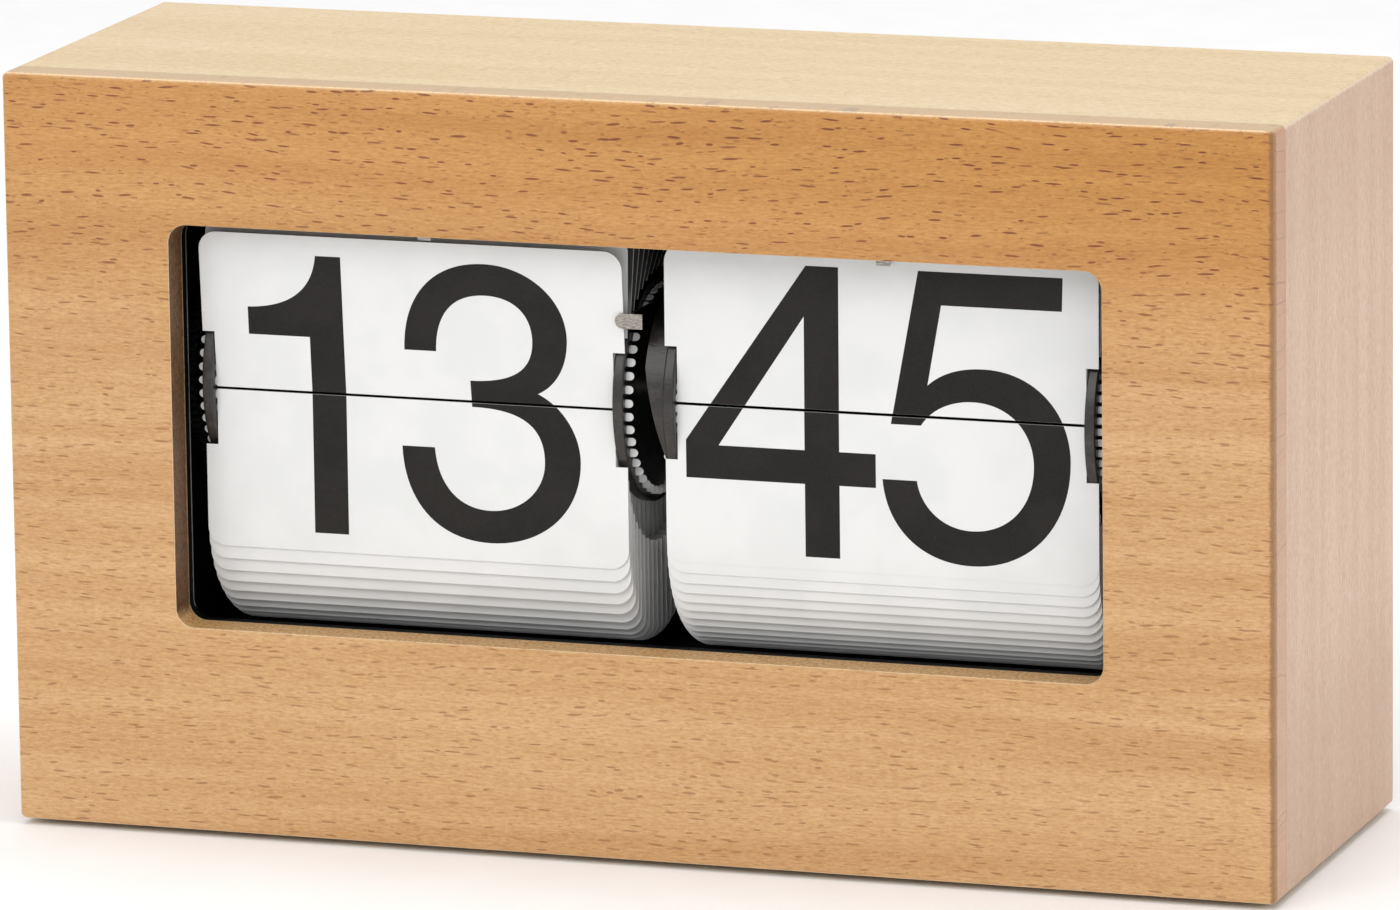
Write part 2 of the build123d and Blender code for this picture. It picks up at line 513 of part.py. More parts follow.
# ---------------------------------------------------------------- motor and battery
def motor():
    (y0, y1), (z0, z1) = MOTOR_YS, MOTOR_ZS
    x0, x1, wall = MOTOR_X, MOTOR_X + MOTOR_W, MOTOR_WALL
    axis_y, axis_z = motor_axis()
    housing = block((x0, x1), (y0, y1), (z0, z1))
    housing -= block((x0 + wall, x1), (y0 + wall, y1 - wall), (z0 + wall, z1 - wall))
    housing -= rod(x0, x0 + wall, axis_y, axis_z, STUD_R + RUN_GAP)
    lid = block((x1, x1 + wall), (y0, y1), (z0, z1))
    floor_x = x0 + wall
    coil_y, coil_z = axis_y + 9, z0 + 7
    coil = along_y(floor_x + 3.5, coil_z, coil_y - 8, coil_y + 8, 3.0)
    coil -= along_y(floor_x + 3.5, coil_z, coil_y - 8, coil_y + 8, 1.0)
    core = along_y(floor_x + 3.5, coil_z, coil_y - 9, coil_y + 9, 1.0)
    rotor_y, rotor_z = axis_y + 13, z0 + 15
    stator = block((floor_x + 3.0, floor_x + 3.8), (rotor_y - 5.5, rotor_y + 5.5), (rotor_z - 3.4, rotor_z + 3.4))
    stator -= rod(floor_x + 3.0, floor_x + 3.8, rotor_y, rotor_z, 2.2)
    crystal = along_y(floor_x + 6.0, z0 + 29, y0 + 4, y0 + 11, 1.2)
    wheel_y, wheel_z = axis_y + 8, axis_z + 9
    wheel = rod(floor_x + 5.0, floor_x + 5.8, wheel_y, wheel_z, 5.5) + rod(floor_x, x1 - 0.2, wheel_y, wheel_z, 0.6)
    board_x = x1 - 1.4
    shaft_end = floor_x + 3.2
    pinion = gear_face(MOTOR_PINION_TEETH, MOTION_MODULE, 90 + 180 / MOTOR_PINION_TEETH)
    shaft = rod(MINUTE_GEAR_X - 0.2, shaft_end, axis_y, axis_z, STUD_R)
    output = gear(MINUTE_GEAR_X, MINUTE_GEAR_T, axis_y, axis_z, pinion, STUD_R)
    return {
        "motor_housing": housing,
        "motor_cover": lid,
        "motor_coil": coil,
        "motor_stator": Compound(children=[stator, core]),
        "motor_rotor": rod(floor_x + 1.2, floor_x + 6.0, rotor_y, rotor_z, 1.8),
        "motor_train_wheel": wheel,
        "quartz_crystal": crystal,
        "circuit_board": block((board_x, board_x + 1.0), (y0 + 2, y0 + 12), (z0 + 3, z1 - 3)),
        "motor_output_shaft": shaft + rod(shaft_end - 1.0, shaft_end, axis_y, axis_z, 5.0),
        "motor_output_pinion": output,
    }


def battery():
    half = TRAY_W / 2
    z0, z1 = FLOOR_Z, FLOOR_Z + TRAY_H
    tray = block((-half, half), (TRAY_Y, REAR_IN_Y), (z0, z1))
    tray -= block((-half + TRAY_WALL, half - TRAY_WALL), (TRAY_Y + TRAY_WALL, REAR_IN_Y),
                  (z0 + TRAY_WALL, z1 - TRAY_WALL))
    cell_y, cell_z = TRAY_Y + TRAY_WALL + CELL_R + 0.6, z0 + TRAY_WALL + CELL_R
    inner_right, inner_left = half - TRAY_WALL, -half + TRAY_WALL
    plate_t = 0.5
    cell_end = inner_right - plate_t - CELL_NUB_L
    cell = rod(cell_end - CELL_L, cell_end, cell_y, cell_z, CELL_R)
    cell = fillet(cell.edges().filter_by(GeomType.CIRCLE), 0.5)
    cell += rod(cell_end, cell_end + CELL_NUB_L, cell_y, cell_z, CELL_NUB_R)
    contact = block((inner_right - plate_t, inner_right), (cell_y - 5, cell_y + 5), (cell_z - 5, cell_z + 5))
    wire, spring_r = 0.35, 3.4
    free = cell_end - CELL_L - inner_left - 2 * wire
    path = Helix(pitch=free / 4, height=free, radius=spring_r)
    section = Plane(origin=path @ 0, z_dir=path % 0) * Circle(wire)
    coil = across(inner_left + wire, cell_y, cell_z) * sweep(section, path=path)
    return {"battery_tray": tray, "battery_cell": cell, "battery_contact": contact, "battery_spring": coil}


def battery_leads():
    """Two insulated wires from the tray's side up to the motor's underside."""
    solids = []
    for shift in (0.0, 2.5):
        points = [(TRAY_W / 2, 14.0, 14.0 + shift), (86.0 + shift, 14.0, 14.0 + shift),
                  (87.5 + shift, 0.0, 22.0), (87.5 + shift, 0.0, MOTOR_ZS[0])]
        path = FilletPolyline(*points, radius=4.0)
        section = Plane(origin=path @ 0, z_dir=path % 0) * Circle(LEAD_R)
        solids.append(sweep(section, path=path))
    return Compound(children=solids)


def build():
    hour_blank = leaf_blank(HOUR_LEAVES, HOUR_TAB_H)
    minute_blank = leaf_blank(MINUTE_LEAVES, MINUTE_TAB_H)
    nodes = {
        "front_panel": front_panel(),
        "corner_blocks": corner_blocks(),
        "rear_panel": rear_panel(),
        "rear_panel_screws": rear_panel_screws(),
        "battery_door": battery_door(),
        "foot_pads": foot_pads(),
        "window_mask": window_mask(),
        "chassis_base": chassis_base(),
        "chassis_posts": chassis_posts(),
        "chassis_screws": chassis_screws(),
        "left_end_plate": left_end_plate(),
        "right_end_plate": right_end_plate(),
        "top_bar": cross_bar(TOP_BAR_Y, TOP_BAR_DEPTH, TOP_BAR_Z, TOP_BAR_H),
        "rear_bar": cross_bar(REAR_BAR_Y, REAR_BAR_DEPTH, REAR_BAR_Z, REAR_BAR_H),
        "hour_leaves": leaf_pack(HOUR_LEFT_X, HOUR_LEAVES, HOUR_TAB_H),
        "minute_leaves": leaf_pack(MINUTE_LEFT_X, MINUTE_LEAVES, MINUTE_TAB_H),
        "hour_front_leaf": place_leaf(hour_blank, HOUR_LEFT_X, HOUR_LEAVES, 0),
        "minute_front_leaf": place_leaf(minute_blank, MINUTE_LEFT_X, MINUTE_LEAVES, 0),
        "release_lever": release_lever(),
        "lever_bracket": lever_bracket(),
        "lever_pin": lever_pin(),
        "lever_spring": lever_spring(),
        "hour_finger": finger(-36.0, -29.2, 98.1, 98.7),
        "minute_finger": finger(39.4, -27.3, 97.4, 99.3),
        "battery_leads": battery_leads(),
    }
    for group in (box_boards(), hour_drum(), minute_drum(), idler(), setting(), motor(), battery()):
        nodes.update(group)
    return nodes


def main():
    os.makedirs("parts", exist_ok=True)
    for name, shape in build().items():
        export_step(shape, f"parts/{name}.step")
    reach = hypot(RING_R + LEAF_TIP * sin(radians(LEAF_LAG)), LEAF_TIP * cos(radians(LEAF_LAG)))
    print(f"leaves sweep a circle of radius {reach:.1f} mm about the drum axis")


main()
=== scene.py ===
"""Finishes, printed numbers, light and camera for the leaf clock. Metres, in the clock's own frame."""

import json
import math

import bmesh
import bpy
from mathutils import Matrix, Vector
from mathutils.geometry import interpolate_bezier


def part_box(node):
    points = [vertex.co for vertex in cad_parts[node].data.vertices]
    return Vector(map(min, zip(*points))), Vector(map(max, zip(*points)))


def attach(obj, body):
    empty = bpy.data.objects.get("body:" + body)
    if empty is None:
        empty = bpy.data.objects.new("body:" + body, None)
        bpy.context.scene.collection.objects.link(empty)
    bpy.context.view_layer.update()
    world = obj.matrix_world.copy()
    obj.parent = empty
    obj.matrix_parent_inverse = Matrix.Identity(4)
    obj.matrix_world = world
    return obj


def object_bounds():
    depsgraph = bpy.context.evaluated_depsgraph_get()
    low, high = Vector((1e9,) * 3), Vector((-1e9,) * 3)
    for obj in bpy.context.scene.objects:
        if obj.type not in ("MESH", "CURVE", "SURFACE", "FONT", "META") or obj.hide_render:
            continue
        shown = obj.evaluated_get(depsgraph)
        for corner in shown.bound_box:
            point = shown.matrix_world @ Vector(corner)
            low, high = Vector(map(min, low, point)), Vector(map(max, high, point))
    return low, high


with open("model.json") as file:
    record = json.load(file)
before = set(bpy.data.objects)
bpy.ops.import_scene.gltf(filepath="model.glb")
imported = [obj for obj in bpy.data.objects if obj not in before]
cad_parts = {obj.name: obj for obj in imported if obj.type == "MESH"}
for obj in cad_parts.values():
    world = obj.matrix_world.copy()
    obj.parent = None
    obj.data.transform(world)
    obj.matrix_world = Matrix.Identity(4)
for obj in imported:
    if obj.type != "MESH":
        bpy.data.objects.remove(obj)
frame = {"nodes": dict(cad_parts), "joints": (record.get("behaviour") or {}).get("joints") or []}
cad_low, cad_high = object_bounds()

MM = 0.001

# ---- sizes of the clock, in millimetres and degrees ----
HOUR_LEAVES, MINUTE_LEAVES = 48, 60
# A leaf's own angle trails the angle of its pivot on the wheel by this much.
LEAF_LAG = 5.6
SHEET_HALF = 0.09
# The mask runs this far past each side of the window.
MASK_LAP = 12.0
# The gap between the drums, where the tabs stay pale and the leaves get no painted shade.
GAP_MIDDLE, GAP_HALF = -0.2, 3.25
# Painted shade darkens the other leaves from this far behind each drum's front leaf.
SHADE_FROM = {"hour": 1.7, "minute": 2.9}

nodes = frame["nodes"]
joints = {joint["name"]: joint for joint in frame["joints"]}


def srgb(red, green, blue):
    """A display colour, 0 to 255, as the linear colour that a shader takes."""
    def linear(value):
        share = value / 255
        return share / 12.92 if share <= 0.04045 else ((share + 0.055) / 1.055) ** 2.4
    return (linear(red), linear(green), linear(blue), 1.0)


# ---------------------------------------------------------------- node helpers
def add(tree, kind, inputs=None, **settings):
    """A node with its settings, and its inputs set or linked by socket name or number."""
    node = tree.nodes.new(kind)
    for name, value in settings.items():
        setattr(node, name, value)
    for name, value in (inputs or {}).items():
        if isinstance(value, bpy.types.NodeSocket):
            tree.links.new(value, node.inputs[name])
        else:
            node.inputs[name].default_value = value
    return node


def calc(tree, operation, *values, clamp=False):
    """The result of one Math node."""
    inputs = dict(enumerate(values))
    return add(tree, "ShaderNodeMath", inputs, operation=operation, use_clamp=clamp).outputs[0]


def vector_calc(tree, operation, *values):
    """The result of one Vector Math node."""
    return add(tree, "ShaderNodeVectorMath", dict(enumerate(values)), operation=operation).outputs[0]


def ramp(tree, value, low, high, to_low=0.0, to_high=1.0):
    """value mapped from low..high to to_low..to_high, with soft ends."""
    inputs = {"Value": value, "From Min": low, "From Max": high, "To Min": to_low, "To Max": to_high}
    return add(tree, "ShaderNodeMapRange", inputs, interpolation_type="SMOOTHSTEP").outputs[0]


def blend_colour(tree, share, first, second, mode="MIX"):
    """Colour first with a share of colour second over it."""
    inputs = {0: share, 6: first, 7: second}
    return add(tree, "ShaderNodeMix", inputs, data_type="RGBA", blend_type=mode).outputs[2]


def noise(tree, place, scale, detail=3.0, roughness=0.55):
    inputs = {"Vector": place, "Scale": scale, "Detail": detail, "Roughness": roughness}
    return add(tree, "ShaderNodeTexNoise", inputs).outputs[0]


def new_group(name, inputs, outputs):
    """A shader node group with its sockets, and its input and output nodes."""
    group = bpy.data.node_groups.new(name, "ShaderNodeTree")
    for label, kind, default in inputs:
        socket = group.interface.new_socket(name=label, in_out="INPUT", socket_type="NodeSocket" + kind)
        if default is not None:
            socket.default_value = default
    for label, kind in outputs:
        group.interface.new_socket(name=label, in_out="OUTPUT", socket_type="NodeSocket" + kind)
    return group, group.nodes.new("NodeGroupInput"), group.nodes.new("NodeGroupOutput")


def use(tree, group, inputs):
    """A group placed in a material; its outputs are read by name."""
    return add(tree, "ShaderNodeGroup", inputs, node_tree=group).outputs


# ---------------------------------------------------------------- shared effects
def make_fleck_group():
    """Short dark dashes, one to a cell of a stretched grid, each with its own length, tilt and strength."""
    group, given, out = new_group(
        "wood_flecks",
        [("Place", "Vector", None), ("Cell", "Vector", (7.0, 2.4, 1.0)),
         ("Half Length", "Float", 1.3), ("Half Width", "Float", 0.14), ("Share", "Float", 0.6)],
        [("Mask", "Float")])
    scaled = vector_calc(group, "DIVIDE", given.outputs["Place"], given.outputs["Cell"])
    cells = add(group, "ShaderNodeTexVoronoi", {"Vector": scaled, "Scale": 1.0, "Randomness": 1.0},
                voronoi_dimensions="2D", feature="F1")
    away = vector_calc(group, "SUBTRACT", scaled, cells.outputs["Position"])
    away = vector_calc(group, "MULTIPLY", away, given.outputs["Cell"])
    away = add(group, "ShaderNodeSeparateXYZ", {0: away})
    random = add(group, "ShaderNodeSeparateColor", {0: cells.outputs["Color"]})
    tilt = calc(group, "MULTIPLY", calc(group, "SUBTRACT", random.outputs[0], 0.5), 0.16)
    across = calc(group, "MULTIPLY_ADD", away.outputs[0], tilt, away.outputs[1])
    stretch = calc(group, "ADD", random.outputs[1], 0.45)
    length = calc(group, "MULTIPLY", given.outputs["Half Length"], stretch)
    run = calc(group, "POWER", calc(group, "DIVIDE", away.outputs[0], length), 2.0)
    rise = calc(group, "POWER", calc(group, "DIVIDE", across, given.outputs["Half Width"]), 2.0)
    body = ramp(group, calc(group, "ADD", run, rise), 1.25, 0.5)
    fewest = calc(group, "SUBTRACT", 1.0, given.outputs["Share"])
    strength = ramp(group, random.outputs[2], fewest, calc(group, "ADD", fewest, 0.5))
    group.links.new(calc(group, "MULTIPLY", body, strength), out.inputs["Mask"])
    return group


def make_figure_group(flecks):
    """Beech seen along its grain: broad bands, fine fibres, long and short flecks.

    Place is in millimetres, with x along the grain.
    """
    group, given, out = new_group(
        "beech_figure",
        [("Place", "Vector", None), ("Fleck Length", "Float", 1.3), ("Fleck Width", "Float", 0.14),
         ("Fleck Share", "Float", 0.6)],
        [("Band", "Float"), ("Fibre", "Float"), ("Fleck", "Float"), ("Height", "Float")])
    place = given.outputs["Place"]
    drift = noise(group, vector_calc(group, "MULTIPLY", place, (0.012, 0.05, 0.05)), 1.0, 2.0)
    sideways = calc(group, "MULTIPLY_ADD", drift, 7.0, -3.5)
    sway = add(group, "ShaderNodeCombineXYZ", {1: sideways}).outputs[0]
    swayed = vector_calc(group, "ADD", place, sway)
    band = noise(group, vector_calc(group, "MULTIPLY", swayed, (0.006, 0.16, 0.16)), 1.0, 4.0, 0.6)
    fibre = noise(group, vector_calc(group, "MULTIPLY", swayed, (0.25, 3.0, 3.0)), 1.0, 5.0, 0.7)
    long_cell = {"Place": swayed, "Cell": (3.7, 1.5, 1.0), "Half Length": given.outputs["Fleck Length"],
                 "Half Width": given.outputs["Fleck Width"], "Share": given.outputs["Fleck Share"]}
    long_flecks = use(group, flecks, long_cell)["Mask"]
    short_cell = {"Place": vector_calc(group, "ADD", swayed, (31.7, 17.3, 0.0)), "Cell": (2.3, 0.9, 1.0),
                  "Half Length": calc(group, "MULTIPLY", given.outputs["Fleck Length"], 0.5),
                  "Half Width": calc(group, "MULTIPLY", given.outputs["Fleck Width"], 0.8), "Share": 0.6}
    short_flecks = calc(group, "MULTIPLY", use(group, flecks, short_cell)["Mask"], 0.5)
    fleck = calc(group, "MAXIMUM", long_flecks, short_flecks)
    group.links.new(ramp(group, band, 0.3, 0.72), out.inputs["Band"])
    pores = noise(group, vector_calc(group, "MULTIPLY", place, (0.8, 3.0, 3.0)), 1.0, 4.0, 0.8)
    fibre = calc(group, "MULTIPLY_ADD", pores, 0.6, calc(group, "MULTIPLY", fibre, 0.4))
    group.links.new(ramp(group, fibre, 0.36, 0.64), out.inputs["Fibre"])
    group.links.new(fleck, out.inputs["Fleck"])
    fibre_rise = calc(group, "MULTIPLY", fibre, 0.4)
    height = calc(group, "SUBTRACT", fibre_rise, calc(group, "MULTIPLY", fleck, 0.5))
    group.links.new(height, out.inputs["Height"])
    return group


def make_edge_group():
    """A ragged line along an edge: 1 on the edge, 0 past its width.

    Across is 1 for each axis that the distance is measured in, and 0 along the edge.
    """
    group, given, out = new_group(
        "worn_edge",
        [("Place", "Vector", None), ("Edge", "Vector", (0.0, 0.0, 0.0)),
         ("Across", "Vector", (0.0, 1.0, 1.0)), ("Width", "Float", 1.0), ("Ragged", "Float", 0.5)],
        [("Mask", "Float")])
    away = vector_calc(group, "SUBTRACT", given.outputs["Place"], given.outputs["Edge"])
    away = vector_calc(group, "MULTIPLY", away, given.outputs["Across"])
    distance = add(group, "ShaderNodeVectorMath", {0: away}, operation="LENGTH").outputs["Value"]
    rough = calc(group, "SUBTRACT", noise(group, given.outputs["Place"], 0.9, 4.0, 0.7), 0.5)
    wander = calc(group, "MULTIPLY", rough, given.outputs["Ragged"])
    reach = calc(group, "MULTIPLY_ADD", wander, 3.0, distance)
    share = calc(group, "DIVIDE", reach, given.outputs["Width"])
    group.links.new(ramp(group, share, 1.0, 0.45), out.inputs["Mask"])
    return group


def make_skin_group():
    """The small marks of a moulded, rolled or drawn surface: speckle, smudges, and a height for a bump."""
    group, given, out = new_group(
        "surface_marks",
        [("Place", "Vector", None), ("Stretch", "Vector", (1.0, 1.0, 1.0)), ("Grain", "Float", 3.0)],
        [("Speckle", "Float"), ("Smudge", "Float"), ("Height", "Float")])
    stretched = vector_calc(group, "MULTIPLY", given.outputs["Place"], given.outputs["Stretch"])
    speckle = noise(group, stretched, given.outputs["Grain"], 3.0, 0.6)
    smudge = noise(group, given.outputs["Place"], 0.09, 3.0, 0.5)
    group.links.new(ramp(group, speckle, 0.3, 0.7), out.inputs["Speckle"])
    group.links.new(ramp(group, smudge, 0.35, 0.65), out.inputs["Smudge"])
    group.links.new(speckle, out.inputs["Height"])
    return group


FLECKS = make_fleck_group()
FIGURE = make_figure_group(FLECKS)
EDGE = make_edge_group()
SKIN = make_skin_group()


# ---------------------------------------------------------------- materials
def new_material(name):
    material = bpy.data.materials.new(name)
    material.use_nodes = True
    tree = material.node_tree
    tree.nodes.clear()
    shader = add(tree, "ShaderNodeBsdfPrincipled")
    out = add(tree, "ShaderNodeOutputMaterial")
    tree.links.new(shader.outputs[0], out.inputs[0])
    return material, tree, shader


def in_millimetres(tree):
    coordinates = add(tree, "ShaderNodeTexCoord").outputs["Object"]
    return vector_calc(tree, "MULTIPLY", coordinates, (1000.0, 1000.0, 1000.0))


def set_bump(tree, shader, height, depth):
    """A bump whose height of 1 stands depth metres proud."""
    bump = add(tree, "ShaderNodeBump", {"Height": height, "Distance": depth, "Strength": 1.0})
    tree.links.new(bump.outputs[0], shader.inputs["Normal"])


def reorder(tree, place, order, shift):
    """place with its axes in another order, moved by shift, so that x runs along the grain."""
    parts = add(tree, "ShaderNodeSeparateXYZ", {0: place}).outputs
    picked = add(tree, "ShaderNodeCombineXYZ", {i: parts[axis] for i, axis in enumerate(order)})
    return vector_calc(tree, "ADD", picked.outputs[0], shift)


def wood_colour(tree, figure, pale, deep, fleck, fleck_share=0.8):
    """Beech colour from its figure: pale and deep bands, a fibre tint and dark flecks."""
    colour = blend_colour(tree, figure["Band"], pale, deep)
    fibre = calc(tree, "MULTIPLY", figure["Fibre"], 0.6)
    colour = blend_colour(tree, fibre, colour, srgb(208, 172, 128), "MULTIPLY")
    return blend_colour(tree, calc(tree, "MULTIPLY", figure["Fleck"], fleck_share), colour, fleck)


def normal_size(tree, axis):
    """How far the surface faces along an axis, either way, from 0 to 1."""
    normal = add(tree, "ShaderNodeNewGeometry").outputs["Normal"]
    parts = add(tree, "ShaderNodeSeparateXYZ", {0: normal})
    return calc(tree, "ABSOLUTE", parts.outputs[axis])


def reveal_colour(tree, mottle, rise, depth, sill_z, back_y):
    """The window's sawn edge: dark at its sides, golden along the sill, and paler at its back."""
    blotch = ramp(tree, mottle, 0.35, 0.65)
    sawn = blend_colour(tree, blotch, srgb(80, 52, 26), srgb(120, 82, 44))
    golden = blend_colour(tree, blotch, srgb(170, 122, 66), srgb(222, 180, 122))
    sill = ramp(tree, rise, sill_z + 3.0, sill_z + 0.5)
    reveal = blend_colour(tree, sill, sawn, golden)
    ragged_back = calc(tree, "MULTIPLY_ADD", mottle, -1.6, back_y + 0.3)
    rim_back = ramp(tree, depth, ragged_back, back_y)
    return blend_colour(tree, calc(tree, "MULTIPLY", rim_back, 0.45), reveal, srgb(236, 208, 164))


def beech_front():
    """The window panel: level grain on its face, sawn edges round the window and at its corners."""
    material, tree, shader = new_material("beech_front")
    low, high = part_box("front_panel")
    low, high = low / MM, high / MM
    place = in_millimetres(tree)
    figure = use(tree, FIGURE, {"Place": reorder(tree, place, (0, 2, 1), (40.0, 12.0, 0.0)),
                                "Fleck Length": 1.05, "Fleck Width": 0.16, "Fleck Share": 0.72})
    parts = add(tree, "ShaderNodeSeparateXYZ", {0: place}).outputs
    rise = parts[2]
    # Painted shade: the face is darker and warmer towards the top and towards the right, and the same ramp
    # strengthens the flecks there.
    painted_top_shade = calc(tree, "MULTIPLY", ramp(tree, rise, high.z - 56.0, high.z - 6.0),
                  ramp(tree, parts[0], low.x, high.x, 0.75, 1.0))
    fleck_share = calc(tree, "MULTIPLY_ADD", painted_top_shade, 0.45, 0.5)
    colour = wood_colour(tree, figure, srgb(223, 183, 134), srgb(207, 162, 107), srgb(126, 62, 8),
                         fleck_share)
    colour = blend_colour(tree, painted_top_shade, colour, srgb(236, 211, 151), "MULTIPLY")

    frontal = normal_size(tree, 1)
    side_on = ramp(tree, frontal, 0.95, 0.35)
    edge_on = ramp(tree, frontal, 0.35, 0.1)
    window_low, window_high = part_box("window_mask")
    inside = in_window(tree, place, window_low / MM, window_high / MM, MASK_LAP - 1.0)
    outside = calc(tree, "SUBTRACT", 1.0, inside)

    mottle = noise(tree, place, 1.6, 4.0, 0.7)
    reveal = reveal_colour(tree, mottle, rise, parts[1], window_low.z / MM + MASK_LAP, high.y)
    corner = blend_colour(tree, normal_size(tree, 0), srgb(214, 200, 172), srgb(200, 160, 142))
    corner = blend_colour(tree, 0.55, colour, corner)
    colour = blend_colour(tree, calc(tree, "MULTIPLY", edge_on, outside), colour, corner)
    colour = blend_colour(tree, calc(tree, "MULTIPLY", edge_on, inside), colour, reveal)
    rim = calc(tree, "MULTIPLY", side_on, calc(tree, "SUBTRACT", 1.0, edge_on))
    rim = calc(tree, "MULTIPLY", rim, ramp(tree, mottle, 0.3, 0.55, 0.35, 0.95))
    right_edge = use(tree, EDGE, {"Place": place, "Edge": (high.x, low.y, 0.0), "Across": (1.0, 1.0, 0.0),
                                  "Width": 1.2, "Ragged": 0.35})["Mask"]
    colour = blend_colour(tree, rim, colour, srgb(244, 218, 178))
    colour = blend_colour(tree, calc(tree, "MULTIPLY", right_edge, 0.75), colour, srgb(132, 90, 52))
    tree.links.new(colour, shader.inputs["Base Color"])
    tree.links.new(ramp(tree, figure["Fibre"], 0.0, 1.0, 0.42, 0.56), shader.inputs["Roughness"])
    shader.inputs["Coat Weight"].default_value = 0.12
    shader.inputs["Coat Roughness"].default_value = 0.35
    saw_marks = calc(tree, "MULTIPLY", calc(tree, "MULTIPLY", edge_on, mottle), 2.0)
    height = calc(tree, "ADD", figure["Height"], saw_marks)
    set_bump(tree, shader, height, 0.05 * MM)
    return material


def in_window(tree, place, low, high, lap):
    """1 inside the window's outline, a little enlarged, and 0 outside."""
    parts = add(tree, "ShaderNodeSeparateXYZ", {0: place}).outputs
    mask = 1.0
    for axis in (0, 2):
        above = calc(tree, "GREATER_THAN", parts[axis], low[axis] + lap)
        below = calc(tree, "LESS_THAN", parts[axis], high[axis] - lap)
        mask = calc(tree, "MULTIPLY", mask, calc(tree, "MULTIPLY", above, below))
    return mask


def beech_board(name, order, shift, pale, deep, fleck, edges, fleck_share=0.35):
    """A veneered board: order puts the grain's axis first, and edges lists its worn lines and broad darker
    bands.
    """
    material, tree, shader = new_material(name)
    place = in_millimetres(tree)
    figure = use(tree, FIGURE, {"Place": reorder(tree, place, order, shift), "Fleck Length": 0.9,
                                "Fleck Width": 0.12, "Fleck Share": 0.5})
    colour = wood_colour(tree, figure, pale, deep, fleck, fleck_share)
    for edge, across, width, ragged, share, tint in edges:
        mask = use(tree, EDGE, {"Place": place, "Edge": edge, "Across": across, "Width": width,
                                "Ragged": ragged})["Mask"]
        colour = blend_colour(tree, calc(tree, "MULTIPLY", mask, share), colour, tint)
    tree.links.new(colour, shader.inputs["Base Color"])
    tree.links.new(ramp(tree, figure["Fibre"], 0.0, 1.0, 0.45, 0.6), shader.inputs["Roughness"])
    shader.inputs["Coat Weight"].default_value = 0.1
    shader.inputs["Coat Roughness"].default_value = 0.4
    set_bump(tree, shader, figure["Height"], 0.03 * MM)
    return material


def plain_surface(name, dark, light, roughness, grain=3.0, stretch=(1.0, 1.0, 1.0), depth=0.02, metal=0.0,
                  coat=0.0):
    """A moulded, rolled or painted surface between two tints, with speckle, smudges and a fine bump."""
    material, tree, shader = new_material(name)
    place = in_millimetres(tree)
    marks = use(tree, SKIN, {"Place": place, "Stretch": stretch, "Grain": grain})
    tree.links.new(blend_colour(tree, marks["Speckle"], dark, light), shader.inputs["Base Color"])
    soft = calc(tree, "MULTIPLY_ADD", marks["Smudge"], 0.12, roughness - 0.06)
    tree.links.new(calc(tree, "MULTIPLY_ADD", marks["Speckle"], 0.08, soft), shader.inputs["Roughness"])
    shader.inputs["Metallic"].default_value = metal
    shader.inputs["Coat Weight"].default_value = coat
    set_bump(tree, shader, marks["Height"], depth * MM)
    return material


def leaf_sheet():
    """Off-white plastic sheet, uneven and scuffed, with painted shade on the upper leaves deep in each drum.
    """
    material, tree, shader = new_material("leaf_sheet")
    place = in_millimetres(tree)
    marks = use(tree, SKIN, {"Place": place, "Stretch": (0.4, 1.0, 1.0), "Grain": 0.5})
    colour = blend_colour(tree, marks["Smudge"], srgb(237, 237, 236), srgb(231, 232, 231))
    scuff = calc(tree, "MULTIPLY", ramp(tree, noise(tree, place, 0.8, 6.0, 0.75), 0.68, 0.8), 0.25)
    colour = blend_colour(tree, scuff, colour, srgb(206, 204, 200))
    parts = add(tree, "ShaderNodeSeparateXYZ", {0: place}).outputs
    hour_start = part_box("hour_front_leaf")[1].y / MM + SHADE_FROM["hour"]
    minute_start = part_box("minute_front_leaf")[1].y / MM + SHADE_FROM["minute"]
    start = ramp(tree, parts[0], -0.1, 0.1, hour_start, minute_start)
    behind = ramp(tree, calc(tree, "SUBTRACT", parts[1], start), 0.0, 1.6)
    axis_z = joints["minute_drum_turn"]["pos_m"][2] / MM
    inner = calc(tree, "MULTIPLY", behind, ramp(tree, parts[2], axis_z, axis_z + 6.0))
    from_gap = calc(tree, "ABSOLUTE", calc(tree, "SUBTRACT", parts[0], GAP_MIDDLE))
    inner = calc(tree, "MULTIPLY", inner, calc(tree, "GREATER_THAN", from_gap, GAP_HALF))
    # Painted shade: the upper leaves deep in each drum are darkened almost to black.
    colour = blend_colour(tree, calc(tree, "MULTIPLY", inner, 0.92), colour, srgb(30, 28, 27))
    tree.links.new(colour, shader.inputs["Base Color"])
    tree.links.new(ramp(tree, marks["Speckle"], 0.0, 1.0, 0.42, 0.5), shader.inputs["Roughness"])
    set_bump(tree, shader, marks["Height"], 0.01 * MM)
    return material


def printed_ink():
    """Screen-printed brown-black, with the sheet showing through in fine pinholes."""
    material, tree, shader = new_material("printed_ink")
    place = in_millimetres(tree)
    marks = use(tree, SKIN, {"Place": place, "Stretch": (1.0, 1.0, 1.0), "Grain": 2.2})
    colour = blend_colour(tree, marks["Smudge"], srgb(22, 19, 17), srgb(30, 26, 23))
    pinhole = ramp(tree, noise(tree, place, 3.5, 2.0, 0.5), 0.76, 0.8)
    colour = blend_colour(tree, calc(tree, "MULTIPLY", pinhole, 0.4), colour, srgb(110, 100, 92))
    tree.links.new(colour, shader.inputs["Base Color"])
    shader.inputs["Specular IOR Level"].default_value = 0.3
    tree.links.new(ramp(tree, marks["Speckle"], 0.0, 1.0, 0.5, 0.65), shader.inputs["Roughness"])
    set_bump(tree, shader, marks["Height"], 0.01 * MM)
    return material


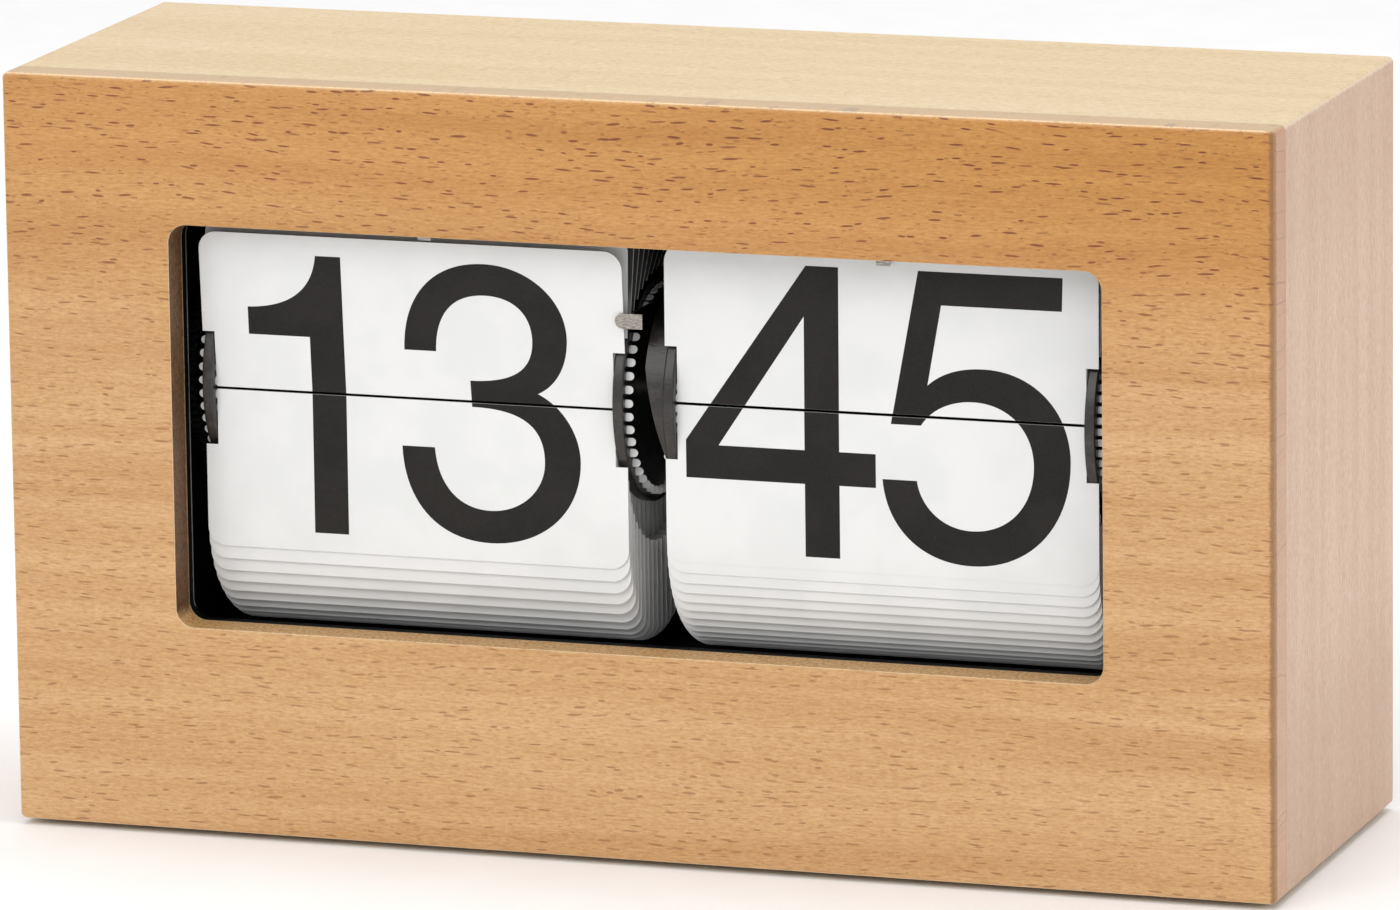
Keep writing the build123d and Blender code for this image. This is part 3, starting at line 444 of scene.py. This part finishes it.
def window_black():
    """The mask behind the window: dull black, with a painted highlight, a thin grey line, along its inner
    back edge.
    """
    material, tree, shader = new_material("window_black")
    low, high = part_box("window_mask")
    low, high = low / MM, high / MM
    place = in_millimetres(tree)
    marks = use(tree, SKIN, {"Place": place, "Stretch": (1.0, 1.0, 1.0), "Grain": 4.0})
    colour = blend_colour(tree, marks["Speckle"], srgb(2, 2, 2), srgb(5, 5, 5))
    shader.inputs["Specular IOR Level"].default_value = 0.1
    # Painted highlight: a thin grey line along each inner back edge of the mask.
    for inner_x in (low.x + MASK_LAP, high.x - MASK_LAP):
        line = use(tree, EDGE, {"Place": place, "Edge": (inner_x, high.y, 0.0), "Across": (1.0, 1.0, 0.0),
                                "Width": 0.45, "Ragged": 0.12})["Mask"]
        colour = blend_colour(tree, calc(tree, "MULTIPLY", line, 0.8), colour, srgb(150, 148, 146))
    tree.links.new(colour, shader.inputs["Base Color"])
    tree.links.new(ramp(tree, marks["Speckle"], 0.0, 1.0, 0.55, 0.7), shader.inputs["Roughness"])
    set_bump(tree, shader, marks["Height"], 0.02 * MM)
    return material


def turned_black():
    """Satin black drum plastic, with a painted grey sheen on its rims, mottled, and painted shade darkening
    it more than 9 mm above the axle.
    """
    material, tree, shader = new_material("turned_black")
    place = in_millimetres(tree)
    axis = Vector(joints["minute_drum_turn"]["pos_m"]) / MM
    marks = use(tree, SKIN, {"Place": place, "Stretch": (0.5, 2.0, 2.0), "Grain": 1.6})
    rub_and_sheen_mottle = ramp(tree, noise(tree, place, 0.5, 5.0, 0.7), 0.45, 0.75)
    away = vector_calc(tree, "SUBTRACT", place, tuple(axis))
    away = vector_calc(tree, "MULTIPLY", away, (0.0, 1.0, 1.0))
    radius = add(tree, "ShaderNodeVectorMath", {0: away}, operation="LENGTH").outputs["Value"]
    rim = ramp(tree, radius, 17.7, 18.3)
    colour = blend_colour(tree, marks["Speckle"], srgb(11, 10, 10), srgb(22, 20, 19))
    # Painted sheen: the rims are tinted grey, more where the mottle is strong.
    colour = blend_colour(tree, calc(tree, "MULTIPLY", rim, calc(tree, "MULTIPLY_ADD", rub_and_sheen_mottle, 0.6, 0.3)),
                          colour, srgb(74, 68, 63))
    rise = add(tree, "ShaderNodeSeparateXYZ", {0: place}).outputs[2]
    # Painted shade: everything more than 9 mm above the axle fades to near black.
    colour = blend_colour(tree, ramp(tree, rise, axis.z + 9.0, axis.z + 12.5), colour, srgb(5, 5, 5))
    tree.links.new(colour, shader.inputs["Base Color"])
    tree.links.new(ramp(tree, rub_and_sheen_mottle, 0.0, 1.0, 0.3, 0.45), shader.inputs["Roughness"])
    set_bump(tree, shader, marks["Height"], 0.03 * MM)
    return material


def lever_steel():
    """Rolled steel that is bright on the hook and blackened along the arm."""
    material, tree, shader = new_material("lever_steel")
    place = in_millimetres(tree)
    bend_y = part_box("release_lever")[0].y / MM
    along = add(tree, "ShaderNodeSeparateXYZ", {0: place}).outputs[1]
    marks = use(tree, SKIN, {"Place": place, "Stretch": (1.0, 0.5, 5.0), "Grain": 1.5})
    bright = blend_colour(tree, marks["Speckle"], srgb(128, 122, 115), srgb(186, 180, 172))
    arm = ramp(tree, along, bend_y + 0.7, bend_y + 1.1)
    tree.links.new(blend_colour(tree, arm, bright, srgb(16, 15, 14)), shader.inputs["Base Color"])
    tree.links.new(ramp(tree, marks["Smudge"], 0.0, 1.0, 0.3, 0.42), shader.inputs["Roughness"])
    shader.inputs["Metallic"].default_value = 1.0
    set_bump(tree, shader, marks["Height"], 0.02 * MM)
    return material


def copper_turns():
    """Fine enamelled wire, wound round and round."""
    material, tree, shader = new_material("copper_turns")
    place = in_millimetres(tree)
    along = add(tree, "ShaderNodeSeparateXYZ", {0: place}).outputs[1]
    turn = calc(tree, "ABSOLUTE", calc(tree, "SINE", calc(tree, "MULTIPLY", along, math.pi / 0.25)))
    colour = blend_colour(tree, turn, srgb(96, 44, 20), srgb(206, 112, 62))
    tree.links.new(colour, shader.inputs["Base Color"])
    tree.links.new(ramp(tree, turn, 0.0, 1.0, 0.5, 0.25), shader.inputs["Roughness"])
    shader.inputs["Metallic"].default_value = 0.9
    set_bump(tree, shader, turn, 0.06 * MM)
    return material


def circuit_green():
    """Solder mask over copper tracks."""
    material, tree, shader = new_material("circuit_green")
    place = in_millimetres(tree)
    tracks = add(tree, "ShaderNodeTexVoronoi", {"Vector": place, "Scale": 0.35},
                 feature="DISTANCE_TO_EDGE").outputs["Distance"]
    track = ramp(tree, tracks, 0.08, 0.04)
    colour = blend_colour(tree, track, srgb(18, 84, 40), srgb(46, 132, 66))
    tree.links.new(colour, shader.inputs["Base Color"])
    tree.links.new(ramp(tree, track, 0.0, 1.0, 0.35, 0.28), shader.inputs["Roughness"])
    set_bump(tree, shader, track, 0.04 * MM)
    return material


def make_materials():
    low, high = cad_low / MM, cad_high / MM
    top_right, panel_back = (high.x, 0.0, high.z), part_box("front_panel")[1].y / MM
    along_x, along_z, along_y, level = (0.0, 1.0, 1.0), (1.0, 1.0, 0.0), (1.0, 0.0, 1.0), (0.0, 0.0, 1.0)
    cream = (srgb(235, 218, 184), srgb(228, 208, 170), srgb(190, 150, 102))
    rose = (srgb(228, 202, 181), srgb(218, 189, 166), srgb(160, 118, 88))
    seam = [((0.0, panel_back, high.z), along_x, 0.35, 0.1, 0.5, srgb(176, 150, 110))]
    side_lines_and_bands = [((high.x, panel_back, 0.0), along_z, 0.4, 0.1, 0.5, srgb(150, 112, 86)),
                 ((low.x, panel_back, 0.0), along_z, 0.4, 0.1, 0.5, srgb(150, 112, 86)),
                 # Broad bands: the side boards are darker towards the bottom and towards the top.
                 ((0.0, 0.0, low.z), level, 44.0, 6.0, 0.35, srgb(178, 142, 116)),
                 ((0.0, 0.0, high.z), level, 30.0, 6.0, 0.2, srgb(186, 148, 118)),
                 (top_right, along_y, 0.9, 0.3, 0.6, srgb(240, 222, 196))]
    return {
        "beech_front": beech_front(),
        "beech_top": beech_board("beech_top", (0, 1, 2), (7.0, 90.0, 3.0), *cream, seam, 0.25),
        "beech_bottom": beech_board("beech_bottom", (0, 1, 2), (55.0, 30.0, 9.0), *cream, seam, 0.25),
        "beech_left": beech_board("beech_left", (2, 1, 0), (21.0, 64.0, 5.0), *rose, side_lines_and_bands),
        "beech_right": beech_board("beech_right", (2, 1, 0), (77.0, 11.0, 8.0), *rose, side_lines_and_bands),
        "softwood": plain_surface("softwood", srgb(190, 150, 100), srgb(222, 186, 136), 0.75, 1.2,
                                  (0.3, 0.12, 1.6), 0.06),
        "window_black": window_black(),
        "moulded_black": plain_surface("moulded_black", srgb(13, 13, 13), srgb(24, 23, 23), 0.55, 5.0,
                                       depth=0.03),
        "turned_black": turned_black(),
        "leaf_sheet": leaf_sheet(),
        "printed_ink": printed_ink(),
        "rolled_steel": plain_surface("rolled_steel", srgb(118, 112, 106), srgb(190, 184, 176), 0.34, 1.5,
                                      (0.5, 0.5, 5.0), 0.02, 1.0),
        "lever_steel": lever_steel(),
        "acetal": plain_surface("acetal", srgb(10, 10, 10), srgb(20, 19, 18), 0.45, 1.2),
        "felt": plain_surface("felt", srgb(52, 38, 28), srgb(92, 72, 54), 0.95, 4.5, depth=0.2),
        "copper": copper_turns(),
        "magnet": plain_surface("magnet", srgb(70, 70, 74), srgb(104, 104, 108), 0.5, 4.0, metal=0.7),
        "crystal_can": plain_surface("crystal_can", srgb(176, 176, 180), srgb(214, 214, 216), 0.26, 1.0,
                                     (1.0, 0.2, 1.0), 0.01, 1.0),
        "circuit": circuit_green(),
        "cell_sleeve": plain_surface("cell_sleeve", srgb(46, 48, 54), srgb(70, 72, 80), 0.32, 0.6,
                                     (0.2, 1.0, 1.0), 0.01, 0.3, 0.4),
        "lead_red": plain_surface("lead_red", srgb(138, 26, 22), srgb(170, 40, 32), 0.5, 2.0),
    }


NODE_FINISH = {
    "beech_front": ["front_panel"],
    "beech_top": ["top_board"],
    "beech_bottom": ["bottom_board"],
    "beech_left": ["left_board"],
    "beech_right": ["right_board"],
    "softwood": ["corner_blocks"],
    "window_black": ["window_mask"],
    "moulded_black": ["rear_panel", "battery_door", "battery_tray", "chassis_base", "chassis_posts",
                      "left_end_plate", "right_end_plate", "top_bar", "rear_bar", "setting_thumbwheel",
                      "motor_housing", "motor_cover"],
    "turned_black": ["hour_wheel_left", "hour_wheel_right", "minute_wheel_left", "minute_wheel_right",
                     "cam_collar", "hour_core", "minute_core"],
    "leaf_sheet": ["hour_leaves", "minute_leaves", "hour_front_leaf", "minute_front_leaf"],
    "lever_steel": ["release_lever"],
    "rolled_steel": ["lever_bracket", "lever_pin", "lever_spring", "hour_finger",
                     "minute_finger", "drum_axle", "idler_stud", "setting_stud", "chassis_screws",
                     "rear_panel_screws", "motor_output_shaft", "motor_stator", "battery_contact",
                     "battery_spring"],
    "acetal": ["hour_gear", "minute_gear", "axle_pinion", "idler_wheel", "idler_pinion", "setting_gear",
               "motor_output_pinion", "motor_train_wheel"],
    "felt": ["foot_pads"],
    "copper": ["motor_coil"],
    "magnet": ["motor_rotor"],
    "crystal_can": ["quartz_crystal"],
    "circuit": ["circuit_board"],
    "cell_sleeve": ["battery_cell"],
    "lead_red": ["battery_leads"],
}


def paint_nodes(materials):
    for finish, names in NODE_FINISH.items():
        for name in names:
            slots = nodes[name].data.materials
            slots.clear()
            slots.append(materials[finish])


# ---------------------------------------------------------------- numbers
# Each outline is in millimetres: x from the figure's left side, and height above the line of the split.
# A point of two numbers ends a straight stroke; six numbers are a curve's two handles and its end.
FIGURES = {
    "1": [[(0, 13.7), (6.8, 13.9, 11.1, 16.6, 11.85, 22.6), (16.1, 22.6), (16.1, -22.8), (10.35, -22.8),
           (10.35, 9.2), (0, 9.2)]],
    "3": [[(0.85, 8.0), (0.95, 17.0, 6.2, 22.7, 14.75, 22.7), (22.2, 22.7, 28.25, 17.6, 28.25, 11.1),
           (28.25, 6.7, 26.2, 3.3, 23.05, 1.85), (27.0, 0.0, 30.0, -4.3, 30.0, -8.9),
           (30.0, -17.0, 23.6, -22.8, 14.75, -22.8), (6.0, -22.8, 0.3, -17.2, 0, -7.75), (5.5, -7.75),
           (5.9, -13.9, 9.4, -17.55, 14.75, -17.55), (19.9, -17.55, 24.0, -13.8, 24.0, -9.2),
           (24.0, -3.0, 19.6, -0.85, 11.9, -0.85), (11.75, 3.45), (18.6, 3.45, 22.45, 5.4, 22.45, 10.6),
           (22.45, 14.8, 19.6, 17.55, 14.75, 17.55), (9.4, 17.55, 6.3, 14.3, 6.2, 8.0)]],
    "4": [[(20.0, 23.05), (25.35, 23.05), (25.35, -6.4), (31.35, -6.4), (31.35, -11.8), (25.35, -11.8),
           (25.35, -23.5), (19.65, -23.5), (19.65, -11.8), (0, -11.8), (0, -5.75)],
          [(19.65, 14.95), (5.4, -6.4), (19.65, -6.4)]],
    "5": [[(6.0, 23.15), (29.55, 23.15), (29.4, 17.85), (9.75, 17.85), (7.45, 5.0),
           (10.0, 7.3, 13.2, 8.05, 16.65, 8.05), (24.9, 8.05, 30.8, 2.0, 30.8, -6.0),
           (30.8, -16.2, 24.2, -23.45, 14.65, -23.45), (6.4, -23.45, 0.6, -18.2, 0, -10.3), (5.65, -10.3),
           (6.1, -14.0, 9.4, -17.85, 14.65, -17.85), (20.6, -17.85, 24.8, -13.4, 24.8, -7.0),
           (24.8, -1.2, 20.6, 2.75, 14.85, 2.75), (11.2, 2.75, 8.0, 1.2, 6.4, -1.4), (1.45, -1.4)]],
    "6": [[(28.6, 12.4), (28.0, 19.2, 23.2, 23.1, 15.8, 23.1), (5.4, 23.1, 0, 13.6, 0, -1.0),
           (0, -15.6, 5.4, -23.5, 15.2, -23.5), (24.4, -23.5, 30.6, -17.0, 30.6, -8.0),
           (30.6, 1.2, 24.6, 7.2, 16.2, 7.2), (12.0, 7.2, 8.2, 5.2, 5.9, 1.6),
           (6.0, 11.6, 9.4, 17.9, 15.9, 17.9), (19.8, 17.9, 22.4, 15.8, 23.0, 12.4)],
          [(15.4, 1.8), (20.8, 1.8, 25.0, -2.6, 25.0, -8.1), (25.0, -13.7, 20.8, -18.0, 15.4, -18.0),
           (10.0, -18.0, 5.8, -13.7, 5.8, -8.1), (5.8, -2.6, 10.0, 1.8, 15.4, 1.8)]],
}
# Each figure of a number is its name, the place of its left side, and its scale.
HOUR_SPLIT = {"now": (("1", -66.7, 1.0), ("3", -41.25, 1.0)),
              "next": (("1", -66.7, 1.0), ("4", -41.8, 0.977))}
MINUTE_SPLIT = {"now": (("4", 6.4, 1.0), ("5", 38.85, 1.0)),
                "next": (("4", 6.4, 1.0), ("6", 38.85, 1.0))}
CURVE_STEPS = 24
SPLIT_GAP = 0.23
INK_SINK, INK_PROUD = 0.005, 0.02


def loop_points(loop):
    """An outline's points, with its curves divided."""
    points = [Vector((*loop[0], 0.0))]
    for stroke in loop[1:]:
        if len(stroke) == 2:
            points.append(Vector((*stroke, 0.0)))
        else:
            start_handle, end_handle, end = (Vector((*stroke[i:i + 2], 0.0)) for i in (0, 2, 4))
            points += interpolate_bezier(points[-1], start_handle, end_handle, end, CURVE_STEPS)[1:]
    if (points[0] - points[-1]).length < 1e-4:
        points.pop()
    return points


def figure_mesh(figures, upper):
    """The upper or lower half of a pair of figures, flat, filled and in millimetres."""
    curve = bpy.data.curves.new("outline", "CURVE")
    curve.dimensions = "2D"
    curve.fill_mode = "BOTH"
    for name, left, scale in figures:
        for loop in FIGURES[name]:
            points = loop_points(loop)
            spline = curve.splines.new("POLY")
            spline.points.add(len(points) - 1)
            for target, point in zip(spline.points, points):
                target.co = (left + point.x * scale, point.y * scale, 0.0, 1.0)
            spline.use_cyclic_u = True
    outline = bpy.data.objects.new("outline", curve)
    flat = bmesh.new()
    flat.from_mesh(bpy.data.meshes.new_from_object(outline))
    bpy.data.objects.remove(outline)
    bmesh.ops.remove_doubles(flat, verts=flat.verts, dist=1e-4)
    side = 1 if upper else -1
    everything = flat.verts[:] + flat.edges[:] + flat.faces[:]
    bmesh.ops.bisect_plane(flat, geom=everything, plane_co=(0, side * SPLIT_GAP, 0),
                           plane_no=(0, -side, 0), clear_outer=True)
    return flat


def print_on_leaf(name, figures, upper, body, leaf, behind=False):
    """Ink on one leaf's front, or upside down on its back, where it reads once the leaf has dropped."""
    pivot, direction, split_z = leaf
    flat = figure_mesh(figures, upper)
    bmesh.ops.solidify(flat, geom=flat.faces[:], thickness=INK_SINK + INK_PROUD)
    low = min(vertex.co.z for vertex in flat.verts)
    outward = Vector((0, -direction.z, direction.y))
    if direction.z < 0:
        outward = -outward
    if behind:
        outward = -outward
    start = (pivot.z - split_z) / abs(direction.z)
    axle_side = Vector((0, pivot.y, pivot.z))
    for vertex in flat.verts:
        x, height, lift = vertex.co
        run = abs(height) - start if direction.z > 0 else abs(height) + start
        proud = SHEET_HALF - INK_SINK + (lift - low)
        vertex.co = (Vector((x, 0, 0)) + axle_side + direction * run + outward * proud) * MM
    bmesh.ops.recalc_face_normals(flat, faces=flat.faces[:])
    mesh = bpy.data.meshes.new(name)
    flat.to_mesh(mesh)
    flat.free()
    piece = bpy.data.objects.new(name, mesh)
    bpy.context.scene.collection.objects.link(piece)
    mesh.materials.append(MATERIALS["printed_ink"])
    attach(piece, body)
    return piece


def leaf_at(axis, radius, theta):
    """A leaf's pivot and the way that it points, from its angle round the drum; both in millimetres."""
    turn = math.radians(theta)
    pivot = Vector((0, axis.y - radius * math.cos(turn), axis.z + radius * math.sin(turn)))
    upright = math.radians(min(theta - LEAF_LAG, 180.0))
    return pivot, Vector((0, math.sin(upright), math.cos(upright)))


def print_numbers():
    """The numbers that show, and those that the next drop brings up."""
    axis = Vector(joints["minute_drum_turn"]["pos_m"]) / MM
    for drum, count, split in (("hour", HOUR_LEAVES, HOUR_SPLIT), ("minute", MINUTE_LEAVES, MINUTE_SPLIT)):
        step = 360 / count
        pivot = Vector(joints[drum + "_leaf_fall"]["pos_m"]) / MM
        radius = math.hypot(pivot.y - axis.y, pivot.z - axis.z)
        theta = math.degrees(math.atan2(pivot.z - axis.z, axis.y - pivot.y))
        split_z = axis.z + radius * math.sin(math.radians(theta - step / 2))
        front = (*leaf_at(axis, radius, theta), split_z)
        following = (*leaf_at(axis, radius, theta + step), None)
        following = (following[0], following[1], following[0].z - (pivot.z - split_z))
        lower = (*leaf_at(axis, radius, theta - step + 360), split_z)
        moving = drum + "_front_leaf"
        print_on_leaf(drum + "_number_upper", split["now"], True, moving, front)
        print_on_leaf(drum + "_number_lower", split["now"], False, "root", lower)
        print_on_leaf(drum + "_next_number_upper", split["next"], True, "root", following)
        print_on_leaf(drum + "_next_number_lower", split["next"], False, moving, front, behind=True)


# ---------------------------------------------------------------- stage
CAMERA_PLACE = Vector((0.55701, -1.63789, 0.42395))
CAMERA_TURN, CAMERA_TILT, CAMERA_ROLL = 18.794, 11.895, -0.722
CAMERA_LENS, SENSOR = 284.05, 36.0
FLOOR_HALF = 6.0


def make_camera():
    data = bpy.data.cameras.new("camera")
    data.lens = CAMERA_LENS
    data.sensor_width = SENSOR
    data.clip_start = 0.05
    data.clip_end = 50.0
    camera = bpy.data.objects.new("camera", data)
    turn, tilt, roll = (math.radians(angle) for angle in (CAMERA_TURN, CAMERA_TILT, CAMERA_ROLL))
    forward = Vector((-math.sin(turn) * math.cos(tilt), math.cos(turn) * math.cos(tilt), -math.sin(tilt)))
    level = Vector((math.cos(turn), math.sin(turn), 0.0))
    upward = level.cross(forward)
    right = level * math.cos(roll) + upward * math.sin(roll)
    up = upward * math.cos(roll) - level * math.sin(roll)
    pose = Matrix((right, up, -forward)).transposed().to_4x4()
    pose.translation = CAMERA_PLACE
    camera.matrix_world = pose
    bpy.context.scene.collection.objects.link(camera)
    bpy.context.scene.camera = camera


def area_light(name, place, aim, size, power, colour=(1.0, 1.0, 1.0)):
    data = bpy.data.lights.new(name, "AREA")
    data.shape = "RECTANGLE"
    data.size, data.size_y = size
    data.energy = power
    data.color = colour
    light = bpy.data.objects.new(name, data)
    light.location = place
    light.rotation_mode = "QUATERNION"
    light.rotation_quaternion = (Vector(aim) - Vector(place)).to_track_quat("-Z", "Y")
    bpy.context.scene.collection.objects.link(light)


def make_stage():
    mesh = bpy.data.meshes.new("floor")
    corners = [(-1, -1), (1, -1), (1, 1), (-1, 1)]
    mesh.from_pydata([(x * FLOOR_HALF, y * FLOOR_HALF, 0) for x, y in corners], [], [(0, 1, 2, 3)])
    floor = bpy.data.objects.new("floor", mesh)
    bpy.context.scene.collection.objects.link(floor)
    pale, paler = srgb(252, 252, 252), srgb(254, 254, 254)
    mesh.materials.append(plain_surface("floor_paint", pale, paler, 0.9, 0.05, depth=0.0))
    middle = (0.0, 0.0, 0.06)
    area_light("key", (-0.5, -1.6, 1.2), middle, (1.4, 1.0), 11.5)
    area_light("overhead", (0.1, 0.1, 1.6), middle, (1.6, 1.2), 12)
    area_light("right_fill", (1.7, -0.4, 0.7), middle, (1.0, 1.0), 4)
    world = bpy.data.worlds.new("studio")
    world.use_nodes = True
    world.node_tree.nodes["Background"].inputs["Color"].default_value = (1.0, 1.0, 1.0, 1.0)
    world.node_tree.nodes["Background"].inputs["Strength"].default_value = 0.62
    bpy.context.scene.world = world
    bpy.context.scene.view_settings.view_transform = "Standard"


make_camera()
MATERIALS = make_materials()
paint_nodes(MATERIALS)
print_numbers()
make_stage()
